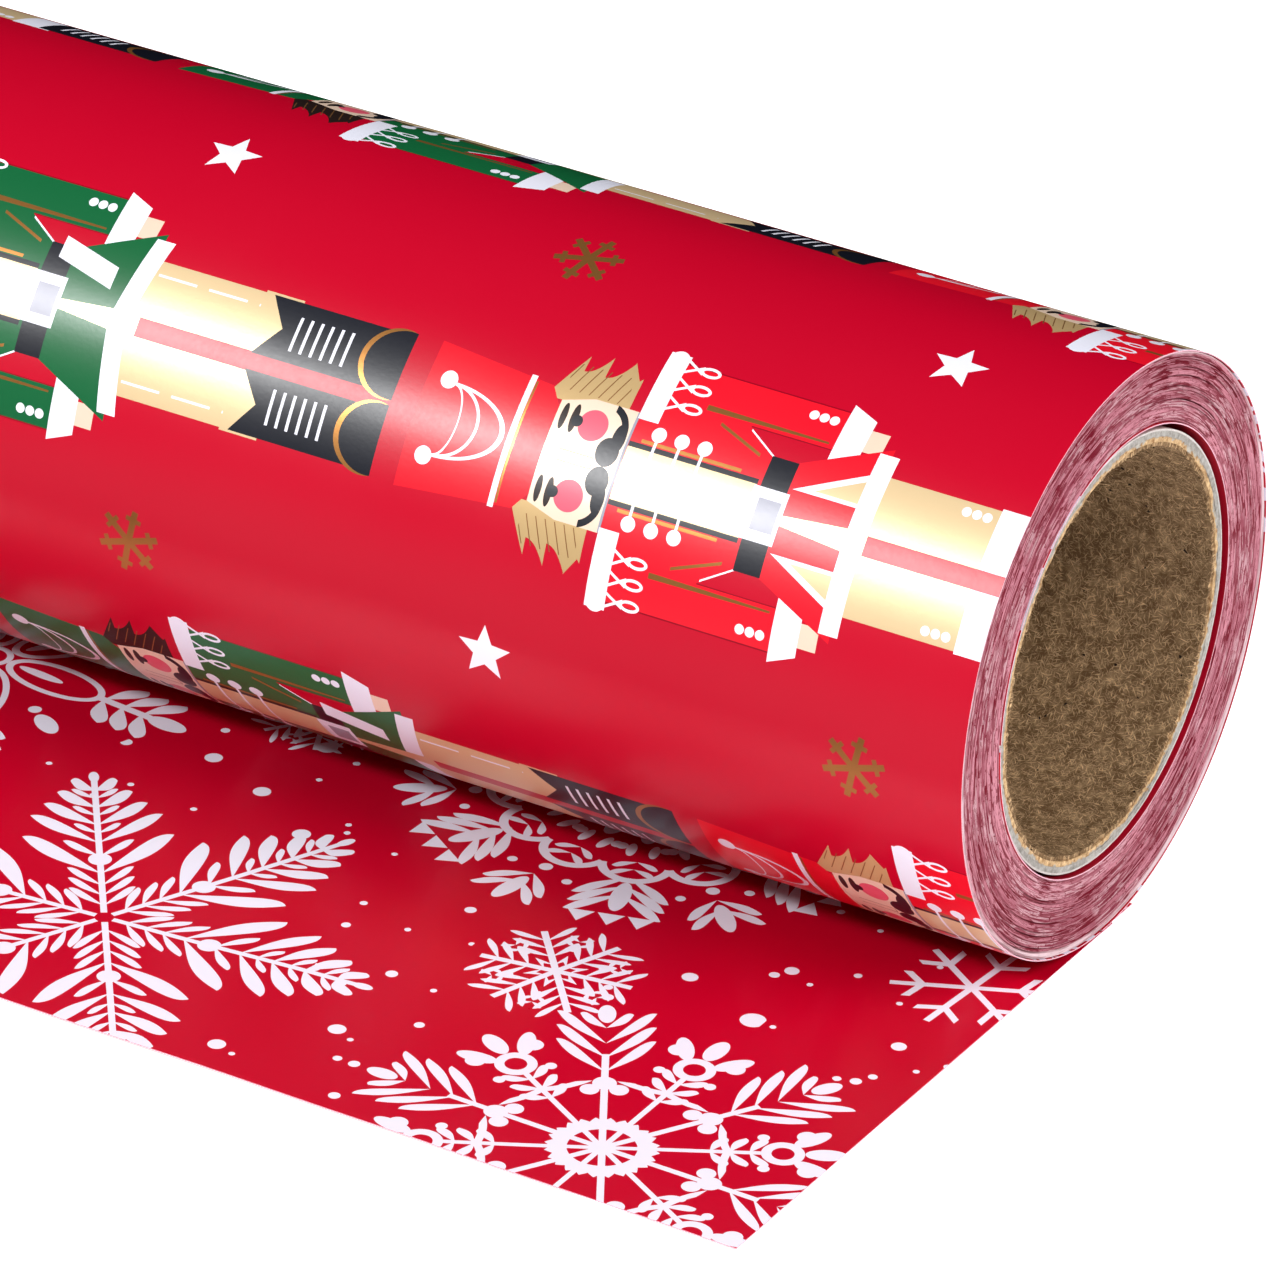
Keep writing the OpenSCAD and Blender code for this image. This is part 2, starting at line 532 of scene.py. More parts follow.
def outer_print():
    paper = PrintedPaper("figure_print")
    paint = paper.paint
    odd, aside = two_steps(paper.across - ROW_ONE, -ROW_GAP / 2, ROW_GAP)
    aside = aside * -1.0
    y = abs(aside)
    shifted = odd.times_plus(-ROW_SHIFT, paper.along)
    kind, f = two_steps(shifted - RED_HAT, 0, FIGURE_GAP)
    coat = kind.times_plus(INK["green"] - INK["scarlet"], INK["scarlet"])
    hair = kind.times_plus(INK["dark"] - INK["fair"], INK["fair"])
    trim = kind.times_plus(INK["cream"] - INK["white"], INK["white"])

    star_odd, dy = two_steps(paper.across - (ROW_ONE + ROW_GAP / 2), -ROW_GAP / 2, ROW_GAP)
    from_star = star_odd.times_plus(-STAR_SHIFT, paper.along) - STAR_AT
    gold, dx = two_steps(from_star, -FIGURE_GAP / 4, FIGURE_GAP / 2)
    out = length_of(dx, dy)
    angle = dy.math("ARCTAN2", dx) + 0.3
    paint(star_mask(out, angle, 2.6) * (gold < 0.5), "white")
    paint(flake_mask(out, angle, 3.0) * gold, "gold")

    soldier_head(paint, f, y, hair)
    soldier_hat(paint, f, y, coat)
    soldier_arms(paint, f, y, coat)
    soldier_coat(paint, f, y, coat)
    soldier_legs(paint, f, y, kind, trim)
    soldier_skirt(paint, f, y, coat, kind, aside)
    print("outer print:", len(paper.tree.nodes), "nodes")
    return paper.dry()


FIGURES = outer_print()

# %% [markdown]
# ## The inner print: snowflakes
#
# A snowflake is one half arm seen in a ring of mirrors. `Arm` measures how far out a point is
# and at what angle, folds the angle into half a sector, and gives the two coordinates of that
# half arm. All that is drawn there appears once on each side of every arm.

# %% Half an arm, in a ring of mirrors
WHEEL, FERN, LACE, PETALS = (16.7, 52.8), (70.2, 44.2), (41.8, 0.0), (103.5, 11.5)


def from_middle(paper, from_edge, forward):
    """How far a point is from the nearest repeat of a flake, along and across the roll."""
    dx = (paper.along - (EDGE - from_edge)).wrapped(-TILE[0] / 2, TILE[0] / 2)
    return dx, (paper.across + forward).wrapped(-TILE[1] / 2, TILE[1] / 2)


class Arm:
    """Coordinates in a folded sector round one flake's middle."""

    def __init__(self, paper, from_edge, forward, folds, turn=0.0):
        dx, dy = from_middle(paper, from_edge, forward)
        self.paper = paper
        self.radius = length_of(dx, dy)
        self.angle = dy.math("ARCTAN2", dx) + turn
        self.half = math.pi / folds
        self.out, self.aside = sector(self.radius, self.angle, self.half)

    def next_arm(self):
        """The coordinates of the arm on the sector's other side."""
        cos, sin = math.cos(self.half), math.sin(self.half)
        out = self.out.times_plus(cos, self.aside * sin)
        aside = self.out.times_plus(sin, self.aside * -cos)
        return out, aside

    def white(self, mask):
        self.paper.paint(mask, "white")


def wheel_flake(paper):
    """A toothed wheel with six feathered arms and six crowned ones."""
    arm = Arm(paper, *WHEEL, 6)
    out, aside = arm.out, arm.aside
    arm.white(arm.radius.near(3.2, 0.35))
    teeth = arm.angle.folded(math.pi / 24).times_plus(4.4, 4.1)
    arm.white((arm.radius < teeth) * (arm.radius > 3.3))
    arm.white(arm.angle.folded(math.pi / 12).math("LESS_THAN", 0.07) * (arm.radius < 3.3))
    arm.white((aside < 0.3) * (out < 14.5))
    arm.white(leaf_row(out, aside, 11.8, 2.2, 3, 1.2, 4.1, 0.85))
    arm.white(leaf_row(out, aside, 18.6, 1.0, 1, 1.0, 2.2, 0.7))
    tip_dots = oval(out, aside, 23.5, 0, 0.5) | oval(out, aside, 25.1, 0, 0.4)
    arm.white(oval(out, aside, 20.8, 0, 1.4, 0.75) | tip_dots)
    arm.white(oval(out, aside, 10.0, 0, 1.0) | oval(out, aside, 9.0, 1.2, 0.8))
    out2, aside2 = arm.next_arm()
    arm.white((aside2 < 0.26) * (out2 < 13.2))
    arm.white(leaf_row(out2, aside2, 8.6, 1.6, 3, 0.6, 2.2, 0.55))
    arm.white(loop(out2, aside2, 14.5, 0, 1.35, 0.42))
    arm.white(oval(out2, aside2, 18.0, 0, 1.7, 0.85))
    leaning = out2.times_plus(0.8, aside2 * 0.6)
    arm.white(oval(leaning, out2.times_plus(-0.6, aside2 * 0.8), 14.9, -8.3, 1.8, 0.75))
    arm.white(loop(out, aside, 16.6, 6.5, 8.0, 0.33) * (arm.radius < 10.4))
    arm.white(oval(out, aside, 15.6, 5.9, 0.85) | oval(out, aside, 12.4, 4.4, 0.5))


def fern_flake(paper):
    """Six arms of drop-shaped leaves."""
    arm = Arm(paper, *FERN, 6, -0.1)
    out, aside = arm.out, arm.aside
    arm.white((aside < 0.28) * out.between(0.8, 23.5))
    arm.white(leaf_row(out, aside, 2.0, 1.7, 3, 1.1, 2.8, 0.6))
    arm.white(leaf_row(out, aside, 7.4, 1.0, 1, 1.0, 6.4, 1.25))
    arm.white(oval(out, aside, 9.8, 0, 1.0) | leaf_row(out, aside, 10.3, 1.0, 1, 0.9, 3.0, 0.6))
    arm.white(leaf_row(out, aside, 12.6, 3.0, 4, 0.85, 5.6, 0.95, 0.4))
    arm.white(leaf_row(out, aside, 14.2, 3.0, 3, 0.8, 2.0, 0.45))
    arm.white(oval(out, aside, 24.0, 0, 0.9, 0.45))


def lace_flake(paper):
    """Rings of petals, scallops and triangles."""
    arm = Arm(paper, *LACE, 7, -0.08)
    out, aside = arm.out, arm.aside
    out2, aside2 = arm.next_arm()
    for reach, place in ((out, aside), (out2, aside2)):
        arm.white(oval(reach, place, 3.4, 0, 1.2, 0.5) | oval(reach, place, 7.2, 0, 1.5, 0.8))
        arm.white(oval(reach, place, 10.0, 1.0, 1.1, 0.45) | oval(reach, place, 9.4, 2.4, 0.55))
        arm.white(loop(reach, place, 12.4, 0, 2.9, 0.4) * (reach > 12.6))
        arm.white(leaf_row(reach, place, 12.0, 1.3, 2, 0.5, 2.0, 0.42))
    arm.white(oval(out, aside, 21.3, 0, 2.3, 0.8))
    arm.white(leaf_row(out, aside, 18.2, 1.6, 2, 0.9, 3.2, 0.7))
    arm.white(oval(out2, aside2, 18.2, 0, 2.5, 0.85))
    arm.white(leaf_row(out2, aside2, 14.8, 1.5, 3, 0.85, 4.2, 0.75))
    triangles = (out2 > 21.3) * (aside2.wrapped(-1.3, 1.3).math("ABSOLUTE") * 1.6 < 23.2 - out2)
    arm.white(triangles * (aside2 < 3.9))
    arm.white(oval(out, aside, 16.6, 0, 0.6) | oval(out2, aside2, 17.0, 4.9, 0.45))


def petal_flake(paper):
    """Six looped petals that end in lobed leaves."""
    arm = Arm(paper, *PETALS, 6, 0.1)
    out, aside = arm.out, arm.aside
    arm.white(oval(out, aside, 7.0, 0, 5.2, 2.5) > oval(out, aside, 7.0, 0, 4.5, 1.9))
    arm.white(oval(out, aside, 5.4, 0, 2.4, 0.5))
    arm.white((aside < 0.4) * out.between(12.0, 18.5))
    arm.white(leaf_row(out, aside, 12.4, 2.1, 3, 0.6, 3.6, 0.95))
    arm.white(oval(out, aside, 19.4, 0, 2.0, 0.95))
    out2, aside2 = arm.next_arm()
    arm.white(oval(out2, aside2, 13.2, 0, 1.8, 0.9) | oval(out2, aside2, 10.4, 0, 0.6))
    arm.white(arm.radius.near(1.5, 0.3))


def small_flake(paper, from_edge, forward, reach, turn):
    """A dense little flake."""
    arm = Arm(paper, from_edge, forward, 6, turn)
    out, aside = arm.out, arm.aside
    arm.white((aside < 0.045 * reach) * (out < reach))
    arm.white(leaf_row(out, aside, 0.16 * reach, 0.2 * reach, 4, 0.7, 0.42 * reach, 0.06 * reach))
    out2, aside2 = arm.next_arm()
    arm.white(oval(out2, aside2, 0.62 * reach, 0, 0.09 * reach, 0.06 * reach))
    arm.white(leaf_row(out2, aside2, 0.66 * reach, 0.14 * reach, 2, 0.6, 0.16 * reach, 0.04 * reach))


def plain_flake(paper, from_edge, forward, reach, turn):
    """Six arms with a pair of twigs each."""
    arm = Arm(paper, from_edge, forward, 6, turn)
    out, aside = arm.out, arm.aside
    arm.white((aside < 0.045 * reach) * (out < reach))
    twig = stripe(out, aside, -0.65, 0.6 * reach, 0.055 * reach)
    arm.white(twig * (aside < 0.3 * reach) * (arm.radius < 1.02 * reach))


def snow(paper, clear_of):
    """Loose dots of many sizes, away from the large flakes."""
    where = paper.point(paper.along, paper.across)
    settings = {"voronoi_dimensions": "2D", "feature": "F1"}
    cells = paper.node("TexVoronoi", settings, {"Vector": where, "Scale": 0.15, "Randomness": 0.9})
    colour = next(s for s in cells.socket.node.outputs if s.name == "Color")
    size = paper.parts_of(Value(paper, colour))[0]
    dots = cells < (size * size * size).times_plus(0.13, 0.042)
    for from_edge, forward, reach in clear_of:
        dx, dy = from_middle(paper, from_edge, forward)
        dots = dots * (squared_length(dx, dy) > reach**2)
    paper.paint(dots, "white")


# %% [markdown]
# Loose snow comes first and keeps clear of the large flakes. A flake's place is how far its
# middle lies from the web's right-hand edge, and from the line where the sheet leaves the roll.

# %% The inner print
SMALL_FLAKES = [  # place, reach and turn of each
    (34.2, 31.2, 6.7, -0.17), (73.5, 5.0, 5.6, 0.1), (119.0, 50.0, 7.2, 0.2),
    (98.0, 72.0, 7.0, 0.3), (126.0, 88.0, 5.5, 0.0),
]
PLAIN_FLAKES = [(4.5, 14.0, 6.8, -0.45), (134.0, 30.0, 9.0, 0.4), (64.0, 84.0, 8.0, 0.2)]


def inner_print():
    paper = PrintedPaper("snowflake_print")
    snow(paper, [(*WHEEL, 22), (*FERN, 19), (*LACE, 23), (*PETALS, 19), (34.2, 31.2, 8)])
    wheel_flake(paper)
    fern_flake(paper)
    lace_flake(paper)
    petal_flake(paper)
    for place in SMALL_FLAKES:
        small_flake(paper, *place)
    for place in PLAIN_FLAKES:
        plain_flake(paper, *place)
    print("inner print:", len(paper.tree.nodes), "nodes")
    return paper.dry()


SNOWFLAKES = inner_print()

# The first turn gets no print, only red mottled towards dark wine: painted shade for a turn that lies deep
# inside the roll.
plain = PrintedPaper("plain_red")
shaded_red = plain.mixed(plain.speckle(plain.here(), 80.0), INKS["ground"][0], INKS["wine"][0])
PLAIN_SHADED_RED = plain.satin(shaded_red, 0.0)


# %% [markdown]
# ## Plain finishes
#
# The cut edge of a wound roll shows every layer: white paper with a skin of red ink on both
# sides, so from a distance it is a dusty pink with fine rings. A streak that follows the rings
# comes from noise on stretched polar coordinates. The direction from the axis is kept as two
# numbers instead of an angle, so that the noise has no seam. On the wound edge, dark lines and
# deeper rings are painted shade, and pale lines and a pale outer rim are painted highlight.

# %% Finishes for cut edges and the core
def rings_round_axis(finish, around, outward):
    """A point for noise, and its radius. around is how fast it changes along a ring, outward
    how fast it changes from ring to ring."""
    _, y, z = finish.parts_of(finish.here())
    y = y - (AXIS.y + WALL_AXIS.y) / 2
    z = z - (AXIS.z + WALL_AXIS.z) / 2
    radius = length_of(y, z)
    return finish.point(y / radius * around, z / radius * around, radius * outward), radius


def cut_edge():
    finish = Finish("cut_edge")
    fibre = finish.speckle(finish.here(), 9000.0, 2.0)
    pink = finish.mixed(finish.ramp(fibre, 0.35, 0.7), srgb(236, 196, 208), srgb(214, 140, 160))
    return finish.surface(
        base_color=pink, roughness=0.85, specular_ior_level=0.2, normal=finish.bump(fibre, 0.01 * MM)
    )


def wound_edge():
    finish = Finish("wound_edge")
    streak_at, radius = rings_round_axis(finish, 9.0, 6500.0)
    band_at, _ = rings_round_axis(finish, 2.6, 2300.0)
    streak = finish.speckle(streak_at, 1.0, 2.0, 0.6)
    band = finish.speckle(band_at, 1.0, 3.0, 0.6)
    cloud = finish.speckle(finish.here(), 240.0, 3.0)
    dust = finish.speckle(finish.here(), 2600.0, 2.0, 0.7)
    sunk = finish.node("Attribute", {"attribute_name": "sunk"}, output=2)
    pale = finish.ramp(radius, WALL_R + 2.4 * MM, WALL_R + 0.6 * MM)
    share = streak * 0.5 + band * 0.7 + cloud * 0.3 - pale * 0.14
    pink = finish.mixed(finish.ramp(share, 0.6, 0.95), srgb(206, 138, 152), srgb(124, 22, 48))
    # Pale lines along the rings: a painted highlight on turns that stand out.
    ridge_highlight = band.near(0.56, 0.032) * finish.ramp(cloud, 0.38, 0.55) * 0.45
    lit = finish.mixed(ridge_highlight, pink, srgb(240, 206, 212))
    # Thin dark lines along the rings: painted shade in the gaps between layers.
    groove = band.near(0.48, 0.034) | streak.near(0.42, 0.03) * 0.7
    groove_shaded = finish.mixed(groove * finish.ramp(cloud, 0.75, 0.4, 0.35, 0.95), lit, srgb(112, 0, 28))
    # Deeper rings are painted dark wine red: the layers' red ink, darkened as painted shade in the
    # recesses.
    ringed = finish.mixed(sunk, groove_shaded, srgb(112, 2, 28))
    specks = finish.ramp(dust, 0.62, 0.68) * finish.ramp(cloud, 0.4, 0.52)
    flecked = finish.mixed(specks, ringed, srgb(116, 6, 36))
    # The outermost rings are painted near white: the paper's white edge, brightened as a painted highlight.
    rim_highlight = finish.ramp(radius, ROLL_R - 0.6 * MM, ROLL_R - 0.35 * MM)
    edged = finish.mixed(rim_highlight * finish.ramp(band, 0.3, 0.6) * 0.7, flecked, srgb(240, 220, 224))
    return finish.surface(
        base_color=edged,
        roughness=0.8,
        specular_ior_level=0.25,
        normal=finish.bump(streak + band + dust * 0.4, 0.05 * MM),
    )


def board_end(name, light, dark, finer, torn=0.0):
    """Grey board. finer adds to the grain's scale. The liner's torn brown fibres lie over the
    board as far as torn, in millimetres from the bore."""
    finish = Finish(name)
    here = finish.here()
    grain = finish.speckle(here, 1900.0 + finer, 4.0, 0.7)
    cloud = finish.speckle(here, 320.0 + finer, 2.0)
    tone = finish.mixed(finish.ramp(grain * 0.7 + cloud * 0.5, 0.42, 0.8), srgb(*light), srgb(*dark))
    _, y, z = finish.parts_of(here)
    depth = length_of(y, z) - (BORE_R + torn * MM)
    wander = (cloud - 0.5) * (1.6 * MM) + (grain - 0.5) * (1.2 * MM)
    frayed = finish.ramp(wander - depth, 0.0, 0.1 * MM)
    tan = finish.mixed(finish.ramp(grain, 0.35, 0.65), srgb(226, 192, 146), srgb(150, 112, 74))
    return finish.surface(
        base_color=finish.mixed(frayed, tone, tan),
        roughness=0.88,
        specular_ior_level=0.2,
        normal=finish.bump(grain, 0.12 * MM),
    )


def kraft():
    """Brown recycled kraft: short fibres at every angle on a mottled ground."""
    finish = Finish("kraft_liner")
    x, y, z = finish.parts_of(finish.here())
    around = y.math("ARCTAN2", z) * BORE_R
    fibres = None
    for number, angle in enumerate([10, 47, 85, 122, 158]):
        turn = math.radians(angle)
        along = x.times_plus(math.cos(turn), around * math.sin(turn))
        across = x.times_plus(-math.sin(turn), around * math.cos(turn))
        where = finish.point(along * 1100.0, across * 8000.0, float(number * 7))
        strand = finish.speckle(where, 1.0, 1.0, 0.5)
        fibres = strand if fibres is None else fibres | strand
    mottle = finish.speckle(finish.here(), 900.0, 4.0, 0.65)
    light = finish.ramp(fibres, 0.6, 0.78)
    tone = finish.ramp(light * 0.6 + mottle * 0.7, 0.3, 0.85)
    brown = finish.mixed(tone, srgb(110, 84, 58), srgb(232, 194, 148))
    dust = finish.speckle(finish.here(), 1500.0, 1.0)
    flecked = finish.mixed(finish.ramp(dust, 0.745, 0.76), brown, srgb(40, 32, 28))
    return finish.surface(
        base_color=flecked,
        roughness=0.92,
        specular_ior_level=0.15,
        normal=finish.bump(light + mottle * 0.6, 0.08 * MM),
    )


def tape():
    finish = Finish("paper_tape")
    crinkle = finish.speckle(finish.here(), 900.0, 3.0)
    tone = finish.mixed(finish.ramp(crinkle, 0.3, 0.7), srgb(226, 214, 190), srgb(208, 192, 160))
    return finish.surface(base_color=tone, roughness=0.6, normal=finish.bump(crinkle, 0.03 * MM))


CUT_EDGE = cut_edge()
WOUND_EDGE = wound_edge()
BOARD = board_end("chipboard", (190, 186, 180), (118, 112, 106), 0.0, 0.6)
INNER_BOARD = board_end("inner_chipboard", (186, 180, 170), (116, 106, 96), 90.0, 0.75)
FACE = board_end("face_ply", (216, 210, 206), (182, 172, 168), 40.0)
KRAFT = kraft()
TAPE = tape()
print("finishes:", [material.name for material in bpy.data.materials])

# %% [markdown]
# ## Laying paper
#
# Each piece of paper starts flat, as a grid whose map is its place on the web. A function then
# says where each point goes, so the print follows the paper wherever it is laid. The grid is the
# snowflake side. Solidify gives it the thickness of paper and the other print on its back. It is
# applied at once, because a sharp edge can only be marked on faces that exist.


# %% Paper tools
CELLS_ALONG = 180
CELL = 1.25 * MM  # a cell's length the other way, along the web


def flat_web(start, end):
    """A flat strip of the web from start to end, in metres along the web's length."""
    cells = max(2, round((end - start) / CELL))
    web = bmesh.new()
    place = Matrix.Translation((0, (start + end) / 2, 0)) @ Matrix.Diagonal((WEB, end - start, 1, 1))
    bmesh.ops.create_grid(web, x_segments=CELLS_ALONG, y_segments=cells, size=0.5, matrix=place)
    return web


def keep_web_map(web):
    """Stores every point's place on the web, before the paper is bent."""
    layer = web.loops.layers.uv.new("web")
    for face in web.faces:
        face.smooth = True
        for corner in face.loops:
            corner[layer].uv = corner.vert.co.xy


def new_piece(name, mesh_tools, materials):
    mesh = bpy.data.meshes.new(name)
    mesh_tools.to_mesh(mesh)
    mesh_tools.free()
    for material in materials:
        mesh.materials.append(material)
    piece = bpy.data.objects.new(name, mesh)
    bpy.context.scene.collection.objects.link(piece)
    return piece


SHARP = math.radians(50)  # edges sharper than this aren't smoothed


def paper_piece(name, web, lay, inside=SNOWFLAKES):
    """Bends a flat web with lay(x, t), and gives it thickness and its other print."""
    keep_web_map(web)
    for vert in web.verts:
        vert.co = lay(vert.co.x, vert.co.y)
    piece = new_piece(name, web, [inside, FIGURES, CUT_EDGE])
    shell = piece.modifiers.new("thickness", "SOLIDIFY")
    shell.thickness = PAPER
    shell.offset = -1.0
    shell.material_offset = 1
    shell.material_offset_rim = 2
    shown = piece.evaluated_get(bpy.context.evaluated_depsgraph_get())
    thick = bpy.data.meshes.new_from_object(shown)
    piece.modifiers.clear()
    piece.data = thick
    thick.set_sharp_from_angle(angle=SHARP)
    print(name, "faces:", len(thick.polygons))
    return piece


# %% [markdown]
# ## The outermost turn and the first turn
#
# The web's coordinate is 0 where it leaves the roll, at the roll's lowest point, and grows up
# the far side and over the top. Wrapping it on a cylinder is then one sine and one cosine. Paper
# is never perfectly tight, so the outer turn stands away by up to 0.12 mm, which is enough to
# break up the long highlight. The first turn stands loose on its own axis.

# %% Wrap the outermost turn and the first turn
SLIT = 0.15 * MM  # an outer turn's two edges don't quite meet
LOOSE = 0.12 * MM


def slack(x, angle):
    """How far the loose outer turn stands off, in metres."""
    spot = Vector((x / (60 * MM), 2.0 * math.sin(angle), 2.0 * math.cos(angle)))
    slow = noise.noise(spot)
    quick = noise.noise(spot * 2.7 + Vector((5.0, 0.0, 0.0)))
    return LOOSE * min(1.0, max(0.0, 0.5 + 0.7 * slow + 0.25 * quick))


def on_outer_turn(x, t):
    angle = t / ROLL_R
    radius = ROLL_R - PAPER + slack(x, angle)
    return AXIS + Vector((x, radius * math.sin(angle), -radius * math.cos(angle)))


def on_first_turn(x, t):
    angle = t / WALL_R - math.pi / 2
    return WALL_AXIS + Vector((x, WALL_R * math.sin(angle), -WALL_R * math.cos(angle)))


around_roll = math.tau * ROLL_R
outer_wrap = paper_piece("outer_wrap", flat_web(SLIT, around_roll - SLIT), on_outer_turn)
around_wall = math.tau * WALL_R
# The first turn's face carries the plain red of painted shade.
first_wrap = paper_piece("first_wrap", flat_web(SLIT, around_wall - SLIT), on_first_turn, PLAIN_SHADED_RED)
wraps = [(outer_wrap, "outer_turn", around_roll), (first_wrap, "first_turn", around_wall)]
for piece, node, length in wraps:
    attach(piece, "roll")
    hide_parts(node)

# %% [markdown]
# ## The free sheet
#
# The loose end lies on the table, and the model lets it lift in small folds, each a hinge
# between two panels. The sheet is laid as strips, and two strips always meet in the
# middle of a panel.

# %% Strips of the free sheet
folds = [joints["sheet_curl"]] + [joints[f"sheet_curl_{n}"] for n in range(2, 6)]
fold_at = [AXIS.y - fold["pos_m"][1] for fold in folds]
WEB_END = AXIS.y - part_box("sheet_panel_6")[0].y  # how far the web's end lies from the roll
TAIL = 2.0 * MM  # how far the sheet reaches back under the roll


def ripple(x, t):
    """How far the loose sheet stands off the table. Its right-hand edge lies flat."""
    forward = -t
    fade = min(1.0, max(0.0, (forward - 6 * MM) / (24 * MM)))
    edge = min(1.0, (WEB / 2 - x) / (30 * MM))
    wave = noise.noise(Vector((x / (40 * MM), forward / (26 * MM), 3.0)))
    small = noise.noise(Vector((x / (15 * MM), forward / (22 * MM), 8.0)))
    return fade * edge * MM * max(0.0, 0.14 + 0.22 * wave + 0.14 * small)


def on_table(x, t):
    return Vector((x, AXIS.y + t, SHEET_TOP + ripple(x, t)))


def cut_by_hand(x, t):
    """Scissors wander a little: the web's end isn't quite a straight line."""
    wander = 0.12 * MM * noise.noise(Vector((x / (35 * MM), 0.0, 21.0)))
    near_end = min(1.0, max(0.0, (-t - 0.8 * WEB_END) / (0.2 * WEB_END)))
    return on_table(x, t + wander * near_end)


seams = [-TAIL] + [(a + b) / 2 for a, b in zip(fold_at, fold_at[1:])] + [WEB_END]
panels = [[f"sheet_panel_{n}"] for n in range(1, 6)]
panels[-1].append("sheet_panel_6")
for number, (begin, end) in enumerate(zip(seams, seams[1:])):
    web = flat_web(-end, -begin)
    lay = cut_by_hand if end == WEB_END else on_table
    strip = paper_piece(f"sheet_strip_{number + 1}", web, lay)
    bend_from = Vector((0, AXIS.y - fold_at[number], SHEET_TOP))
    f"sheet_{number + 1}"
    f"sheet_{number + 2}"
    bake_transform(strip)
    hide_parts(*panels[number])
    round(end - begin, 6)

# %% [markdown]
# The paper that comes off when the sheet is pulled can't appear from nowhere. It lies ready
# under the sheet, hidden, and shows when the sheet slides away from the roll. Its print is the
# print that comes next.

# %% The paper that is still to come
PULL = joints["sheet_pull"]["range_m"][1]
TUCKED = 0.9985  # a hair narrower, so that its edges stay hidden
ahead_low, ahead_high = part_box("web_reserve")


def under_sheet(x, t):
    return Vector((x * TUCKED, AXIS.y + t - PULL, RESERVE_TOP))


ahead = flat_web(ahead_low.y - AXIS.y + PULL, ahead_high.y - AXIS.y + PULL)
web_ahead = paper_piece("web_ahead", ahead, under_sheet)
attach(web_ahead, "laid_web")
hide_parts("web_reserve")

# %% [markdown]
# ## The wound edges
#
# Sixty turns of paper lie between the first and the outermost, hidden except at their ends. So
# the winding is one ring: a rectangle spun round the axis, with its two end sides cut into three
# rings per turn. One ring of each three sinks in, whole turns stand out or in a little, and each
# point stores how deep it lies, which the finish paints as darker shade. Last, the inner rings
# move over to the first turn's axis.

# %% Spin the winding
TURNS = 60
STEPS = 240
WIND_IN = WALL_R + 0.12 * MM
WIND_OUT = ROLL_R - 0.12 * MM


def spun_ring(axis, inner, outer, half_length, cuts, steps):
    """A ring of rectangular section round an axis, with its end sides cut into rings."""
    ring = bmesh.new()
    corners = []
    for side, radius in ((1, inner), (1, outer), (-1, outer), (-1, inner)):
        corners.append(ring.verts.new(axis + Vector((side * half_length, 0, radius))))
    sides = [ring.edges.new((a, b)) for a, b in zip(corners, corners[1:] + corners[:1])]
    bmesh.ops.subdivide_edges(ring, edges=[sides[0], sides[2]], cuts=cuts)
    shape = ring.verts[:] + ring.edges[:]
    bmesh.ops.spin(ring, geom=shape, cent=axis, axis=(1, 0, 0), angle=math.tau, steps=steps, use_merge=True)
    bmesh.ops.recalc_face_normals(ring, faces=ring.faces)
    return ring


def polar(co, centre):
    away = Vector((0, co.y - centre.y, co.z - centre.z))
    return away.length, math.atan2(away.z, away.y)


def turn_depth(turn, angle, side):
    """How far one turn's edge stands back, in millimetres. Wide bands lean in and out."""
    ring_x, ring_y = 1.4 * math.cos(angle), 1.4 * math.sin(angle)
    band = noise.noise(Vector((ring_x, ring_y, turn * 0.16 + side * 40)))
    alone = noise.noise(Vector((ring_x * 0.7, ring_y * 0.7, turn * 3.7 + side * 90)))
    slipped = max(0.0, alone - 0.18) * 0.7
    return 0.1 + 0.12 * band + slipped


winding = spun_ring(AXIS, WIND_IN, WIND_OUT, WEB / 2, 3 * TURNS - 1, STEPS)
depth_shade_layer = winding.verts.layers.float.new("sunk")
ring_width = (WIND_OUT - WIND_IN) / (3 * TURNS)
for vert in winding.verts:
    radius, angle = polar(vert.co, AXIS)
    ring = round((radius - WIND_IN) / ring_width)
    side = math.copysign(1.0, vert.co.x)
    groove = ring % 3 == 0
    depth = turn_depth(ring // 3, angle, side)
    vert.co.x -= side * (depth + 0.05 * groove) * MM
    # How much painted shade the wound edge's finish puts on this point: grooves and turns that stand back.
    vert[depth_shade_layer] = min(1.0, max(0.0, 0.4 * groove + 2.4 * (depth - 0.16)))
    inwards = (WIND_OUT - radius) / (WIND_OUT - WIND_IN)
    vert.co += (WALL_AXIS - AXIS) * inwards
for face in winding.faces:
    face.smooth = True
wound_web = new_piece("wound_web", winding, [WOUND_EDGE])
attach(wound_web, "roll")
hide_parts("winding")
print("winding faces:", len(wound_web.data.polygons))

# %% [markdown]
# ## The core
#
# The core is four plies: kraft inside, two of grey board and a thin white face. Each is a spun
# ring on the bore's own axis. A saw leaves such an end rough, so the ring's end points are moved
# by noise, and most at the inner edge, where the kraft frays.

# %% Spin the plies
BORE_AXIS = Vector((0, 0, 0))
PLY_CUTS = 3
PLY_STEPS = 480


def ply(name, node, material, rough):
    """One ply of the core. rough: how deep its sawn ends are torn, in millimetres."""
    outer = round(part_size(node).y / 2, 5)
    inner = INNER_OF[node]
    ring = spun_ring(BORE_AXIS, inner, outer, CORE_LENGTH / 2, PLY_CUTS, PLY_STEPS)
    for vert in ring.verts:
        radius, angle = polar(vert.co, BORE_AXIS)
        side = math.copysign(1.0, vert.co.x)
        spot = Vector((9 * math.cos(angle), 9 * math.sin(angle), side * 30 + outer / MM * 3))
        coarse = noise.noise(spot)
        fine = noise.noise(spot * 5.0)
        vert.co.x -= side * MM * rough * (0.6 + coarse + 0.7 * fine)
    for face in ring.faces:
        face.smooth = True
    piece = new_piece(name, ring, [material])
    piece.data.set_sharp_from_angle(angle=SHARP)
    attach(piece, "roll")
    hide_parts(node)
    print(name, "radii", inner, outer)
    return piece


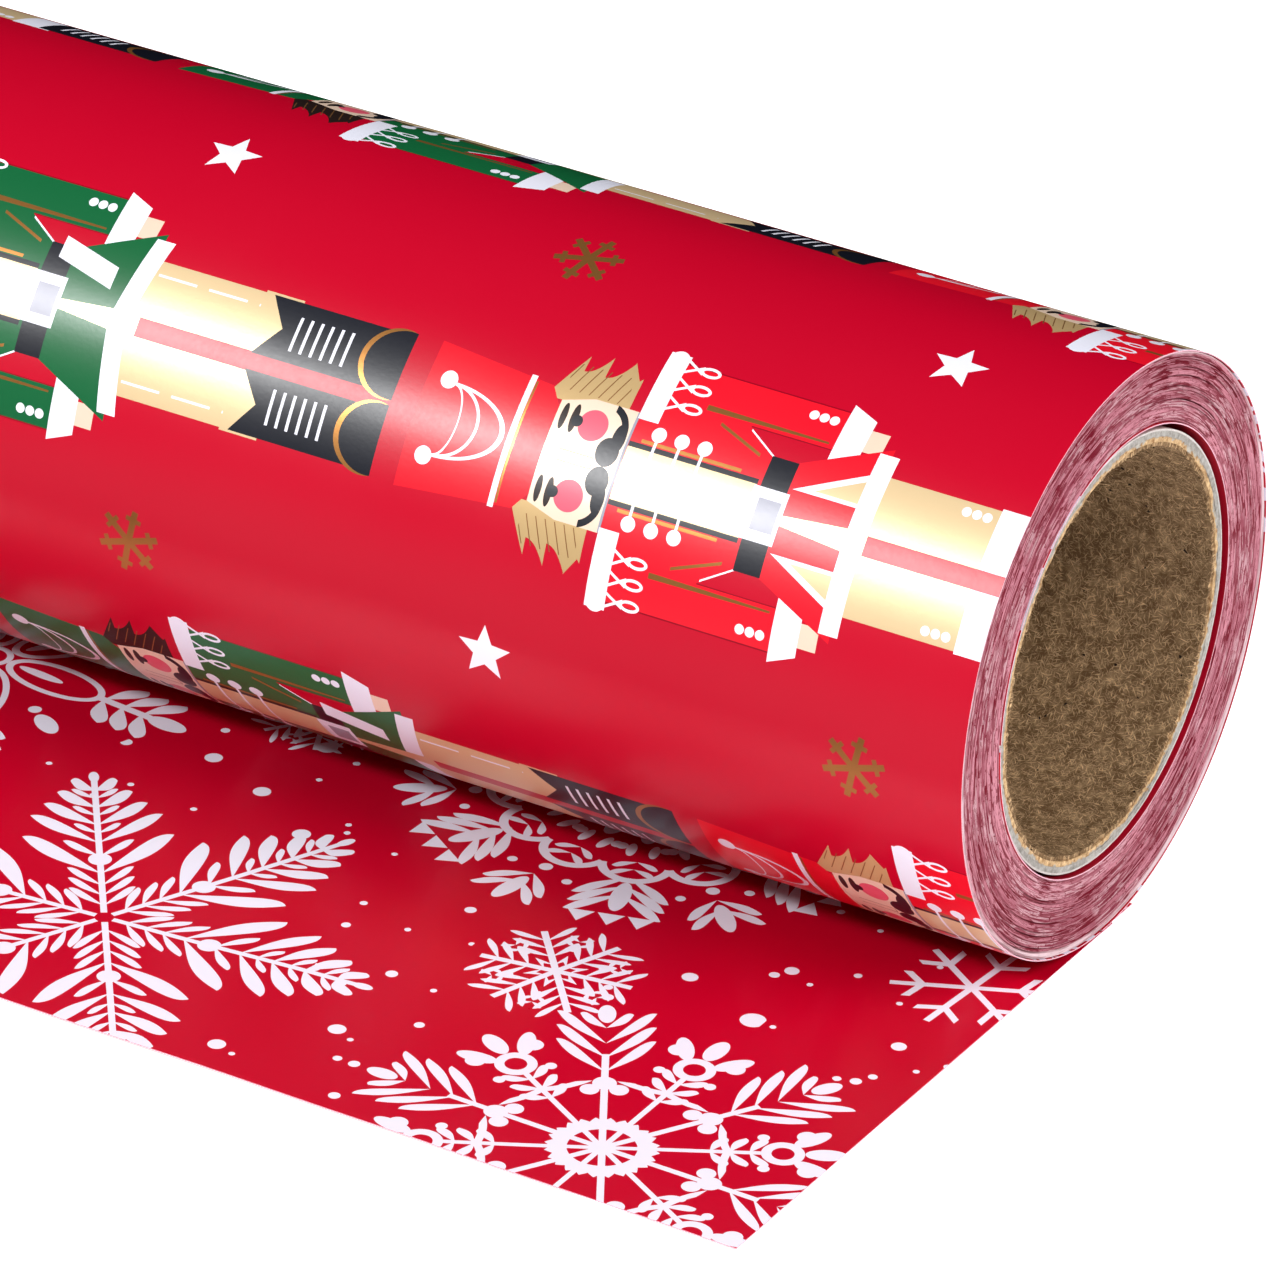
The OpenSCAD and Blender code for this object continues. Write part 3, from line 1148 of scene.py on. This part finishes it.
INNER_OF = {"core_liner": BORE_R}
plies = ["core_liner", "core_board_inner", "core_board_outer", "core_face"]
for inside, outside in zip(plies, plies[1:]):
    INNER_OF[outside] = round(part_size(inside).y / 2, 5)
ply("liner_ply", "core_liner", KRAFT, 0.3)
ply("inner_board_ply", "core_board_inner", INNER_BOARD, 0.12)
ply("outer_board_ply", "core_board_outer", BOARD, 0.08)
ply("white_face_ply", "core_face", FACE, 0.03)

# %% [markdown]
# Torn fibres stand up round the bore. One fibre is a three-sided cone cut across four times,
# and every copy is bent and turned on its own.

# %% Torn fibres at both ends
FIBRES = 130  # at each end
straw = bmesh.new()
bmesh.ops.create_cone(straw, cap_ends=True, segments=3, radius1=0.035, radius2=0.012, depth=1.0)
long_edges = [edge for edge in straw.edges if abs(edge.verts[0].co.z - edge.verts[1].co.z) > 0.5]
bmesh.ops.subdivide_edges(straw, edges=long_edges, cuts=4)
fibre_shape = bpy.data.meshes.new("one_fibre")
straw.to_mesh(fibre_shape)
straw.free()

fibres = bmesh.new()
for number in range(2 * FIBRES):
    side = 1 if number % 2 else -1
    draw = [noise.cell(Vector((number * 7.3, k * 3.1, side))) for k in range(6)]
    angle = math.tau * (number / (2 * FIBRES) + 0.02 * draw[0])
    length = 0.35 + 0.75 * abs(draw[1])
    radius = BORE_R / MM + 0.08 + 0.3 * abs(draw[2])
    known = len(fibres.verts)
    fibres.from_mesh(fibre_shape)
    fibres.verts.ensure_lookup_table()
    lean_in, lean_round, curl = -0.4 - 0.5 * abs(draw[3]), draw[4], 0.6 * draw[5]
    for vert in fibres.verts[known:]:
        up = (vert.co.z + 0.5) * length
        out = vert.co.x + radius + lean_in * up
        aside = vert.co.y + lean_round * up + curl * up * up
        x = side * (CORE_LENGTH / 2 / MM - 0.15 + up * 0.5)
        y = out * math.cos(angle) - aside * math.sin(angle)
        z = out * math.sin(angle) + aside * math.cos(angle)
        vert.co = Vector((x, y, z)) * MM
bmesh.ops.recalc_face_normals(fibres, faces=fibres.faces)
core_fibres = new_piece("core_fibres", fibres, [KRAFT])
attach(core_fibres, "roll")
print("fibre faces:", len(core_fibres.data.polygons))

# %% [markdown]
# The tape holds the web's start to the core. It is hidden between them, so it keeps its packed
# shape and only gets a finish.

# %% The tape
start_tape = bpy.data.objects["start_tape"]
start_tape.data.materials.clear()
start_tape.data.materials.append(TAPE)

# %% [markdown]
# ## Table, light and camera
#
# Two softboxes in front and to the left make the highlight that runs along the roll: a slim one
# its bright middle, a broad one its soft flanks. One from the right opens up the wound edge and
# the bore. It and the overhead one stay out of the paper's shine, so the red stays deep.


# %% Table and lamps
def table_top():
    finish = Finish("table_top")
    cloud = finish.speckle(finish.here(), 3.0, 2.0)
    tone = finish.mixed(cloud, srgb(250, 250, 250), srgb(246, 246, 247))
    return finish.surface(base_color=tone, roughness=0.7, emission_color=tone, emission_strength=0.8)


top = bmesh.new()
bmesh.ops.create_grid(top, x_segments=2, y_segments=2, size=4.0)
bmesh.ops.translate(top, verts=top.verts, vec=(0, 0, FLOOR - 0.02 * MM))
table = new_piece("table", top, [table_top()])


def lamp(name, aim, direction, distance, size, power, mirrored=True):
    """An area lamp. If it isn't mirrored, it lights surfaces and no shine shows it."""
    light = bpy.data.lights.new(name, "AREA")
    light.shape = "RECTANGLE"
    light.size, light.size_y = size
    light.energy = power
    holder = bpy.data.objects.new(name, light)
    towards = Vector(direction).normalized()
    holder.location = aim + towards * distance
    holder.rotation_euler = (-towards).to_track_quat("-Z", "Y").to_euler()
    holder.visible_glossy = mirrored
    bpy.context.scene.collection.objects.link(holder)
    return holder


BOOTS = Vector((WEB / 2 - 85 * MM, AXIS.y - 0.8 * ROLL_R, AXIS.z + 0.6 * ROLL_R))
MIDDLE = Vector((0.1, 0, 0))
lamp("slim_softbox", BOOTS, (-0.44, -0.67, 0.6), 1.25, (0.34, 0.1), 12.0)
lamp("broad_softbox", BOOTS, (-0.44, -0.67, 0.6), 1.4, (0.9, 0.7), 1.6)
lamp("right_softbox", MIDDLE, (0.78, -0.08, 0.62), 1.6, (0.8, 0.8), 19.0, mirrored=False)
lamp("overhead", MIDDLE, (0.1, 0.2, 1.0), 1.6, (1.6, 1.6), 3.2, mirrored=False)
table.visible_glossy = False
world = bpy.data.worlds.new("studio")
bpy.context.scene.world = world
world.use_nodes = True
sky = world.node_tree.nodes["Background"].inputs
sky["Color"].default_value = (1.0, 1.0, 1.0, 1.0)
sky["Strength"].default_value = 0.13
world.cycles_visibility.glossy = False

# %% [markdown]
# A long lens from the right, low over the sheet, shows one end of the roll and both prints.

# %% Camera
AZIMUTH, ELEVATION, TILT = math.radians(30.0), math.radians(28.14), math.radians(1.93)
TARGET = Vector((193.57, -37.63, 12.89)) * MM
DISTANCE = 811.9 * MM
level = math.cos(ELEVATION)
away = Vector((math.sin(AZIMUTH) * level, -math.cos(AZIMUTH) * level, math.sin(ELEVATION)))
camera_data = bpy.data.cameras.new("camera")
camera_data.lens = 286.9
camera_data.sensor_width = 36.0
camera_data.shift_x = -0.0076
camera_data.shift_y = -0.0141
camera_data.clip_start = 0.01
camera = bpy.data.objects.new("camera", camera_data)
facing = away.to_track_quat("Z", "Y").to_matrix()
turned = (facing @ Matrix.Rotation(TILT, 3, "Z")).to_4x4()
camera.matrix_world = Matrix.Translation(TARGET + away * DISTANCE) @ turned
bpy.context.scene.collection.objects.link(camera)
bpy.context.scene.camera = camera
bpy.context.scene.view_settings.view_transform = "Standard"
